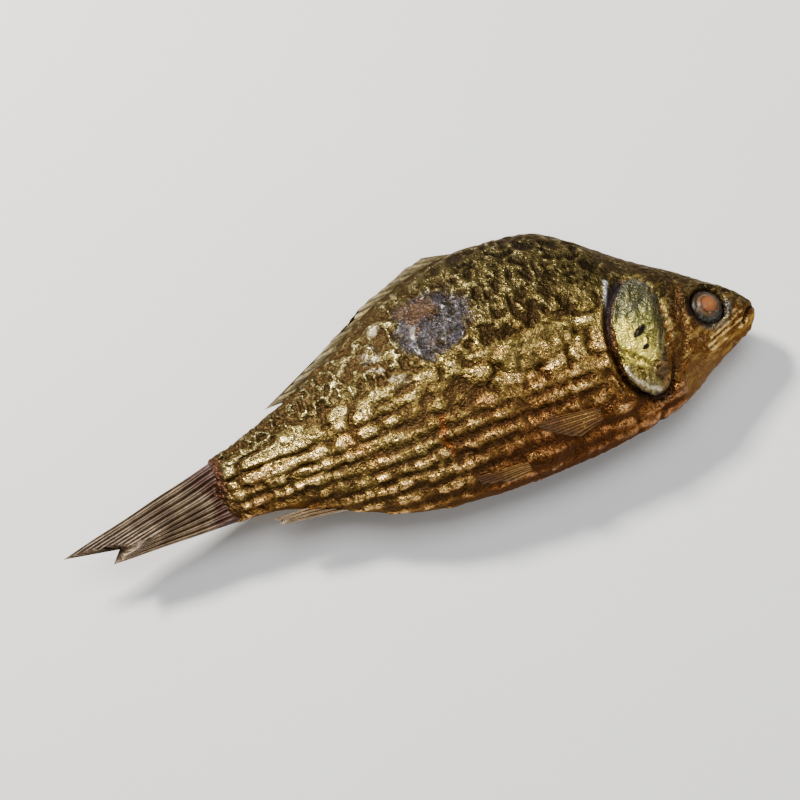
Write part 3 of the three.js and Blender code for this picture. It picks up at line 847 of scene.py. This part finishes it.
def gilded_bone():
    material, shader, wire = begin("gilded_bone", Coat_Roughness=0.10, Coat_IOR=1.45)
    fine, wide = grain(wire, 1.3), grain(wire, 5)
    streak = grain(wire, 1.6, 3.0, (1.0, 0.18, 0.5), -0.35)
    level = mark(wire, "high_up") + (wide - 0.5) * 0.4
    base = by_height(wire, level, [
        (0.0, colour(0.18, 0.09, 0.016)),
        (0.3, colour(0.42, 0.33, 0.045)),
        (0.6, colour(0.30, 0.28, 0.06)),
        (0.8, colour(0.17, 0.165, 0.08)),
        (1.0, colour(0.06, 0.058, 0.038)),
    ])
    base = (streak.rise(0.52, 0.64) * 0.5).between(base, colour(0.58, 0.50, 0.17))
    base = (streak.rise(0.5, 0.38) * 0.7).between(base, colour(0.07, 0.06, 0.015))
    # bright yellow patch below the middle of the plate: a painted highlight
    painted_highlight = mark(wire, "bright") + (fine - 0.5) * 1.1 + (wide - 0.5) * 0.5
    base = (painted_highlight.rise(0.3, 0.9) * 0.95).between(base, colour(0.98, 0.79, 0.13))
    veins = creased(grain(wire, 2.2, 2.0))
    base = (veins.rise(0.35, 0.1) * 0.45).between(base, colour(0.06, 0.045, 0.012))
    base = (grain(wire, 0.7).rise(0.6, 0.75) * 0.6).between(base, colour(0.80, 0.72, 0.34))
    olive = streak.rise(0.46, 0.60).between(colour(0.030, 0.020, 0.006), colour(0.30, 0.25, 0.08))
    front = (mark(wire, "front") + (streak - 0.5) * 1.2).rise(0.15, 0.6)
    base = (front * 0.9).between(base, olive)
    rust = fine.rise(0.4, 0.6).between(colour(0.07, 0.028, 0.007), colour(0.26, 0.12, 0.03))
    base = (mark(wire, "ruddy") * 0.9).between(base, rust)
    base = (mark(wire, "seam") * 0.85).between(base, colour(0.08, 0.05, 0.012))
    # pale line along the raised lower edge: a painted highlight
    base = (mark(wire, "pale_rim") * fine.rise(0.3, 0.5) * 0.8).between(base, colour(0.86, 0.74, 0.48))
    base = mark(wire, "spots").rise(0.2, 0.6).between(base, colour(0.020, 0.012, 0.006))
    base = mark(wire, "rim").rise(0.96, 1.0).between(base, colour(0.075, 0.058, 0.045))
    normal = bumped(wire, fine * 0.7 + streak * 0.7 + grain(wire, 0.7) * 0.35 + veins * 0.3, 0.9)
    finish_with(shader, wire, Base_Color=base, Roughness=0.24 + fine * 0.25, Normal=normal)
    finish_with(shader, wire, Metallic=0.8 + wide * 0.15, Coat_Weight=wide * 0.4)
    return material


bone = gilded_bone()
for name, side_sign in (("right", 1), ("left", -1)):
    rings, cover_marks = gill_cover_rings(side_sign)
    piece = skin(f"{name}_gill_plate", rings, cover_marks, side_sign)
    settle(piece, f"{name}_gill_cover", bone)

# %% [markdown]
# ## Eyes
# Heat clouds a fish's eye: the lens turns from clear to a dull orange-brown, set in dark rings
# with a paler one between. Each eye is a flattened ball of rings around the pupil, tipped to
# follow the head.


# %% Eyes
def eye_rings(side_sign):
    turns = 2 * np.pi * np.arange(64) / 64
    tip = np.radians(np.linspace(1, 178, 56))[:, None]
    radius = np.sin(tip) * EYE_RADIUS
    dome = 2.6 * np.cos(tip) + 0.35 * np.exp(-((radius / 2.6) ** 4)) * (tip < 1.5)
    dome = dome - 0.18 * np.exp(-(((radius - 3.1) / 0.4) ** 2)) * (tip < 1.5)
    h = 0.5
    slope_x = (flank(EYE[0] + h, EYE[1]) - flank(EYE[0] - h, EYE[1])) / (2 * h)
    slope_y = (flank(EYE[0], EYE[1] + h) - flank(EYE[0], EYE[1] - h)) / (2 * h)
    outward = np.array([-slope_x, -slope_y, 1]) / np.sqrt(1 + slope_x**2 + slope_y**2)
    forward = np.cross([0, 1, 0], outward)
    forward /= np.linalg.norm(forward)
    upward = np.cross(outward, forward)
    centre = np.array([*EYE, flank(*EYE)]) - 1.9 * outward
    rings = centre + (radius * np.cos(turns))[..., None] * forward
    rings = rings + (radius * np.sin(turns))[..., None] * upward + dome[..., None] * outward
    return rings * np.array([1, 1, side_sign]), radius / EYE_RADIUS, np.sin(turns) * radius / EYE_RADIUS


def cooked_eye():
    material, shader, wire = begin("cooked_eye", Roughness=0.32, Specular_IOR_Level=0.18)
    fine = grain(wire, 0.9)
    out = mark(wire, "from_pupil") + (fine - 0.5) * 0.16 + (grain(wire, 3) - 0.5) * 0.22
    stops = [
        (0.0, colour(0.27, 0.105, 0.034)),
        (0.40, colour(0.19, 0.060, 0.016)),
        (0.50, colour(0.030, 0.012, 0.005)),
        (0.60, colour(0.13, 0.070, 0.028)),
        (0.70, colour(0.035, 0.020, 0.010)),
        (1.0, colour(0.008, 0.006, 0.004)),
    ]
    base = wire.add("ShaderNodeValToRGB", {"stops": stops}, {0: out})
    base = (fine.rise(0.58, 0.8) * 0.5).between(base, colour(0.50, 0.34, 0.20))
    lower = mark(wire, "eye_up").rise(-0.1, -0.6) * out.rise(0.62, 0.8)
    base = (lower * fine.rise(0.4, 0.62) * 0.8).between(base, colour(0.060, 0.064, 0.058))
    finish_with(shader, wire, Base_Color=base, Normal=bumped(wire, fine, 0.2))
    return material


eye_finish = cooked_eye()
for name, side_sign in (("right", 1), ("left", -1)):
    rings, from_pupil, eye_up = eye_rings(side_sign)
    piece = skin(f"{name}_eyeball", rings, {"from_pupil": from_pupil, "eye_up": eye_up}, side_sign)
    settle(piece, f"{name}_eye", eye_finish)

# %% [markdown]
# ## Fins
# A fin is a fan of bony rays with skin stretched between. Smoked and dried, it folds like a
# closed fan. Each ring goes once round the fin, over its upper face and back under it, and the
# rings follow one another from root to tip. The rays stand up as ribs, and their tips are ragged.


# %% Fins
def fin_rings(rays, foot, tip, lay, seed, steps=48, rib=0.9, web=0.5, pleat=0.0, root=0.9):
    luck = np.random.default_rng(seed).uniform(0, 1, rays + 2)
    across = np.linspace(0, 1, rays * 8 + 1)
    profile = np.abs(np.cos(np.pi * rays * across)) ** 0.8
    ray_luck = np.interp(across * rays, np.arange(rays + 2), luck)
    along = np.linspace(0, 1, steps)[:, None]
    length = 1 - 0.10 * ray_luck - 0.07 * (1 - profile)
    start, end = foot(across), tip(across)
    flat = start + (end - start) * (along * length)[..., None]
    ribs = (rib - web) * profile * step(0.02, 0.25, along)
    thick = (web + ribs) * (1 - 0.5 * along) + (root - 0.9) * (1 - step(0, 0.3, along))
    thick = thick * np.minimum(1, 6 * (1 - along) + 0.2) * np.minimum(1, 8 * along + 0.3)
    thick = thick * np.minimum(1, 0.25 + 30 * np.minimum(across, 1 - across))
    fold = pleat * np.sin(np.pi * rays * across) * np.sin(np.pi * np.clip(along * 1.1, 0, 1))
    middle = lay(flat[..., 0], flat[..., 1]) + fold
    upper = np.stack([flat[..., 0], flat[..., 1], middle + thick / 2], -1)
    lower = np.stack([flat[..., 0], flat[..., 1], middle - thick / 2], -1)
    rings = np.concatenate([upper, lower[:, ::-1]], axis=1)
    ray, along = np.broadcast_arrays(profile, along)
    return rings, {"ray": np.hstack([ray, ray[:, ::-1]]), "along": np.hstack([along, along])}


# %% [markdown]
# ## Dried fins
# Dried rays are pale straw and the web between them is dark brown, so `ray` steers the colour.
# Along a ray, fine cross lines mark the joints of its small bones. All fins share this recipe,
# and each kind gets its own tones: the tail brown, the vent fin pale, the back fin olive, and the
# paired fins russet like the belly they lie on.


# %% Dried fins
def dried_fin(name, web_colours, ray_colours, speck, root_tone, metal=0.5):
    material, shader, wire = begin(name, Coat_Roughness=0.25, Coat_IOR=1.45)
    ray, along = mark(wire, "ray"), mark(wire, "along")
    fine, wide = grain(wire, 1.0), grain(wire, 7)
    ray_tone = wide.rise(0.35, 0.65).between(*ray_colours)
    web_tone = wide.rise(0.35, 0.65).between(*web_colours)
    base = (ray + (fine - 0.5) * 0.7).rise(0.35, 0.9).between(web_tone, ray_tone)
    base = (along.rise(0.75, 1.0) * 0.4).between(base, colour(0.10, 0.06, 0.035))
    base = (fine.rise(0.58, 0.8) * 0.4).between(base, speck)
    bare_root = (along + (fine - 0.5) * 0.16).rise(0.3, 0.16)
    base = bare_root.between(base, root_tone)
    joints = (along * 46 + fine * 0.6).math("FRACT").rise(0.12, 0.0) * ray
    normal = bumped(wire, fine - joints * 0.4 + ray * 0.5, 0.35)
    finish_with(shader, wire, Base_Color=base, Roughness=0.34 + fine * 0.25, Normal=normal)
    finish_with(shader, wire, Coat_Weight=wide * 0.2, Metallic=metal * (0.5 + wide))
    return material


fin_finishes = {
    "tail_fin": dried_fin(
        "tail_rays",
        (colour(0.024, 0.010, 0.005), colour(0.055, 0.027, 0.012)),
        (colour(0.12, 0.075, 0.038), colour(0.27, 0.19, 0.105)),
        colour(0.34, 0.26, 0.15),
        colour(0.055, 0.020, 0.010),
    ),
    "anal_fin": dried_fin(
        "vent_rays",
        (colour(0.05, 0.022, 0.009), colour(0.10, 0.05, 0.022)),
        (colour(0.34, 0.22, 0.11), colour(0.58, 0.42, 0.24)),
        colour(0.50, 0.38, 0.22),
        colour(0.085, 0.045, 0.018),
    ),
    "dorsal_fin": dried_fin(
        "back_rays",
        (colour(0.035, 0.022, 0.007), colour(0.07, 0.05, 0.016)),
        (colour(0.15, 0.115, 0.04), colour(0.27, 0.21, 0.08)),
        colour(0.30, 0.24, 0.12),
        colour(0.05, 0.04, 0.016),
    ),
    "paired": dried_fin(
        "flank_rays",
        (colour(0.045, 0.014, 0.004), colour(0.080, 0.032, 0.008)),
        (colour(0.19, 0.075, 0.018), colour(0.36, 0.19, 0.05)),
        colour(0.50, 0.30, 0.10),
        colour(0.08, 0.030, 0.008),
        metal=0.8,
    ),
}
print("fin finishes:", ", ".join(fin_finishes))

# %% [markdown]
# ## Fins of the back, the vent and the tail
# These three stand in the fish's plane of symmetry. The first two fold back along the outline, and
# the tail closes like a fan, its two lobes almost touching.


# %% Fins of the back, the vent and the tail
def in_plane(px, py):
    return 0.18 * np.sin(px * 0.35 + 1) + 0.12 * np.sin(py * 0.9 + px * 0.1)


def folded_fin(line, side_sign, start, base, rays, stands):
    def over(place, height):
        return np.stack([-place * LENGTH, side_sign * (line(place) + height)], -1)

    def foot(across):
        return over(start + across * base / LENGTH, -2.2)

    def tip(across):
        reach = rays[0] + (rays[1] - rays[0]) * across**0.6
        rise = stands[0] + (stands[1] - stands[0]) * across
        return over(start + (across * base + reach) / LENGTH, rise)

    return foot, tip


def tail_foot(across):
    return np.stack([np.full(np.shape(across), -LENGTH + 5), 0.4 + (across - 0.5) * 17.4], -1)


def tail_tip(across):
    lobe = np.where(across < 0.5, 29, 40)
    reach = 21 + (lobe - 21) * np.abs(2 * across - 1) ** 0.8
    return np.stack([-LENGTH - reach, -2.6 - (1 - across) * 5.4], -1)


plane_fins = {
    "dorsal_fin": (17, *folded_fin(back_line, 1, 0.39, 60, (19, 10), (3.0, 2.0))),
    "anal_fin": (7, *folded_fin(belly_line, -1, 0.745, 11, (26, 14), (3.6, 1.8))),
    "tail_fin": (18, tail_foot, tail_tip),
}
for seed, (node, (rays, foot, tip)) in enumerate(plane_fins.items()):
    root = 3.4 if node == "tail_fin" else 1.2
    rings, fin_marks = fin_rings(rays, foot, tip, in_plane, 30 + seed, steps=64, pleat=0.3, root=root)
    settle(skin(f"{node}_rays", rings, fin_marks), node, fin_finishes[node])

# %% [markdown]
# ## Paired fins
# The breast and belly fins lie pressed back against the flanks. They are the same fans, draped on
# the curve of the skin, and their roots sink under a fold of it.


# %% Paired fins
def draped_fin(side_sign, root_x, root_y, length, root, spread):
    def foot(across):
        return np.stack([root_x - 3 * across, root_y + (0.5 - across) * root], -1)

    def tip(across):
        reach = length * (1 - 0.5 * across**1.6 - 0.12 * (1 - across) ** 3)
        return np.stack([root_x - reach, root_y + (0.5 - across) * spread], -1)

    def lay(px, py):
        return flank(px, py) + 0.12 + 0.12 * np.sin(px * 0.5) - 1.8 * step(root_x - 9, root_x, px)

    return foot, tip, lay


paired = {
    "pectoral_fin": (9, -42.0, -15.0, 27, 1.5, 7.0),
    "pelvic_fin": (6, -62.3, -20.8, 24, 1.6, 3.6),
}
for node, (rays, *size) in paired.items():
    for name, side_sign in (("right", 1), ("left", -1)):
        foot, tip, lay = draped_fin(side_sign, *size)
        rings, fin_marks = fin_rings(rays, foot, tip, lay, len(name) + rays, rib=0.6, web=0.35, pleat=0.08)
        rings = rings * np.array([1, 1, side_sign])
        piece = skin(f"{name}_{node}_rays", rings, fin_marks, side_sign)
        settle(piece, f"{name}_{node}", fin_finishes["paired"])

# %% [markdown]
# ## Floor
# A wide pale plane takes the shadow.


# %% Floor
def stage_floor():
    mesh = bpy.data.meshes.new("floor")
    mesh.from_pydata([(-4, -4, 0), (4, -4, 0), (4, 4, 0), (-4, 4, 0)], [], [(0, 1, 2, 3)])
    piece = bpy.data.objects.new("floor", mesh)
    bpy.context.scene.collection.objects.link(piece)
    material, shader, wire = begin("pale_floor", Roughness=0.6)
    tone = grain(wire, 60, 2.0).between(colour(0.88, 0.87, 0.85), colour(0.91, 0.90, 0.88))
    finish_with(shader, wire, Base_Color=tone)
    mesh.materials.append(material)


stage_floor()

# %% [markdown]
# ## Light
# A small light from the upper left makes the gold glint, a broad one overhead softens it, and a
# weak one opposite opens the shadow. A dim sky fills in the rest. ROLL turns the camera about its
# own line of sight, and the lights turn with it.

# %% Light
ROLL, TILT = np.radians(20), np.radians(15)
SKY_STRENGTH = 0.14
across_view = np.array([np.cos(ROLL), -np.sin(ROLL), 0])
up_view = np.array([np.sin(ROLL), np.cos(ROLL), 0])


def soft_light(name, place, size, power, warmth):
    data = bpy.data.lights.new(name, "AREA")
    data.size, data.energy, data.color = size, power, warmth
    lamp = bpy.data.objects.new(name, data)
    lamp.location = place
    lamp.rotation_euler = (-Vector(place)).to_track_quat("-Z", "Y").to_euler()
    bpy.context.scene.collection.objects.link(lamp)
    print(f"{name}: {power} W over {size} m")


key = -0.55 * across_view + 0.5 * up_view + np.array([0, 0, 0.7])
fill = 0.8 * across_view - 0.2 * up_view + np.array([0, 0, 0.5])
soft_light("key", key, 0.16, 20, (1.0, 0.97, 0.92))
soft_light("overhead", np.array([0, 0, 0.9]) + 0.2 * up_view, 0.5, 5, (0.96, 0.98, 1.0))
soft_light("fill", fill, 0.6, 3, (0.95, 0.97, 1.0))
world = bpy.data.worlds.new("studio")
world.use_nodes = True
sky = world.node_tree.nodes["Background"].inputs
sky["Color"].default_value = colour(0.92, 0.95, 1.0)
sky["Strength"].default_value = SKY_STRENGTH
bpy.context.scene.world = world

# %% [markdown]
# ## Camera
# The camera looks down on the flank, a little from the belly side, turned so that the head points
# up to the right. Its three axes are worked out one by one and set as the columns of its matrix.

# %% Camera
LENS_MM, DISTANCE = 85, 0.48
lens = bpy.data.cameras.new("camera")
lens.lens = LENS_MM
target = np.array([0, 0, 0.008])
view = np.array([0, 0, np.cos(TILT)]) - np.sin(TILT) * up_view
place = target + DISTANCE * view
camera = bpy.data.objects.new("camera", lens)
camera_up = np.cross(view, across_view)
turned = np.eye(4)
turned[:3, 0], turned[:3, 1], turned[:3, 2], turned[:3, 3] = across_view, camera_up, view, place
camera.matrix_world = Matrix(turned.tolist())
bpy.context.scene.collection.objects.link(camera)
bpy.context.scene.camera = camera
print("camera at", place.round(3), camera.matrix_world)
